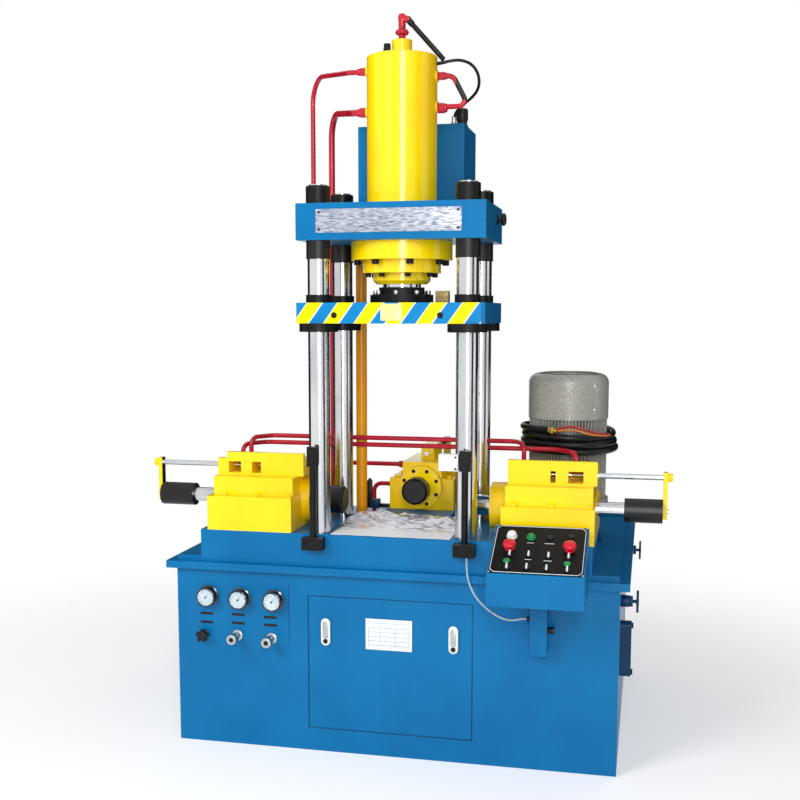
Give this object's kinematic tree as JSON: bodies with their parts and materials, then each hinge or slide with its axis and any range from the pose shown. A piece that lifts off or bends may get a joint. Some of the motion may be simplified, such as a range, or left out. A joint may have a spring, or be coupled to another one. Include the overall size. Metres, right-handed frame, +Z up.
{
  "type": "four-column hydraulic press with side rams",
  "caption": "Upright hydraulic press: a ram drives a platen down four columns over a table with three horizontal core rams, on an oil-tank base.",
  "frame": {"origin": "on the floor under the centre of the four columns", "axes": "+Z up, +Y to the back, +X to the right as seen by the operator in front"},
  "size_m": [1.827, 1.377, 2.477],
  "materials": {
    "blue_paint": "gloss enamel",
    "yellow_paint": "gloss enamel",
    "orange_paint": "gloss enamel",
    "red_paint": "gloss enamel",
    "chrome": "hard chrome, polished",
    "black_steel": "blackened steel",
    "grey_paint": "satin enamel",
    "dark_blue": "gloss enamel",
    "film": "crinkled clear film over bright metal",
    "rubber_black": "matte",
    "conduit_grey": "ribbed"
  },
  "bodies": {
    "frame": {"access_cover": "blue_paint", "bed_block": "blue_paint", "bell_housing": "blue_paint", "cabinet": "blue_paint", "column_back_left": "chrome", "column_back_right": "chrome", "column_front_left": "chrome", "column_front_right": "chrome", "column_nut_back_left": "black_steel", "column_nut_back_right": "black_steel", "column_nut_front_left": "black_steel", "column_nut_front_right": "black_steel", "control_box": "blue_paint", "control_panel": "black_steel", "control_post": "blue_paint", "core_pipe_lower": "red_paint", "core_pipe_upper": "red_paint", "crosshead": "blue_paint", "fan_cowl": "grey_paint", "gland_ring": "yellow_paint", "head_fitting": "red_paint", "head_hose": "rubber_black", "left_core_body": "yellow_paint", "level_gauge": "dark_blue", "main_cylinder": "yellow_paint", "motor_body": "grey_paint", "motor_cable": "rubber_black", "oil_pipe_inner": "red_paint", "oil_pipe_outer": "red_paint", "oil_pipe_right": "red_paint", "rear_core_body": "yellow_paint", "rear_pipe_lower": "red_paint", "rear_pipe_upper": "red_paint", "return_tube": "orange_paint", "right_core_body": "yellow_paint", "sensor_bar_left": "black_steel", "sensor_bar_right": "black_steel", "sensor_conduit": "conduit_grey", "stop_valve_back": "blue_paint", "stop_valve_front": "blue_paint", "support_ring": "yellow_paint", "table_film": "film", "tank_lid": "blue_paint", "terminal_box": "grey_paint", "upper_tank": "blue_paint"},
    "press_slide": {"platen": "blue_paint", "main_ram": "chrome", "ram_foot": "black_steel", "guide_bush_back_left": "black_steel", "guide_bush_back_right": "black_steel", "guide_bush_front_left": "black_steel", "guide_bush_front_right": "black_steel"},
    "left_core": {"left_core_rod": "chrome", "left_core_link": "yellow_paint"},
    "right_core": {"right_core_rod": "chrome", "right_core_link": "yellow_paint"},
    "rear_core": {"rear_core_rod": "chrome", "rear_core_link": "yellow_paint"}
  },
  "joints": [
    {"name": "press_stroke", "type": "slide", "parent": "frame", "child": "press_slide", "axis": [0, 0, -1], "range_m": [0, 0.37]},
    {"name": "left_core_stroke", "type": "slide", "parent": "frame", "child": "left_core", "axis": [1, 0, 0], "range_m": [0, 0.1]},
    {"name": "right_core_stroke", "type": "slide", "parent": "frame", "child": "right_core", "axis": [-1, 0, 0], "range_m": [-0.033, 0.067]},
    {"name": "rear_core_stroke", "type": "slide", "parent": "frame", "child": "rear_core", "axis": [0, -1, 0], "range_m": [0, 0.1]}
  ]
}
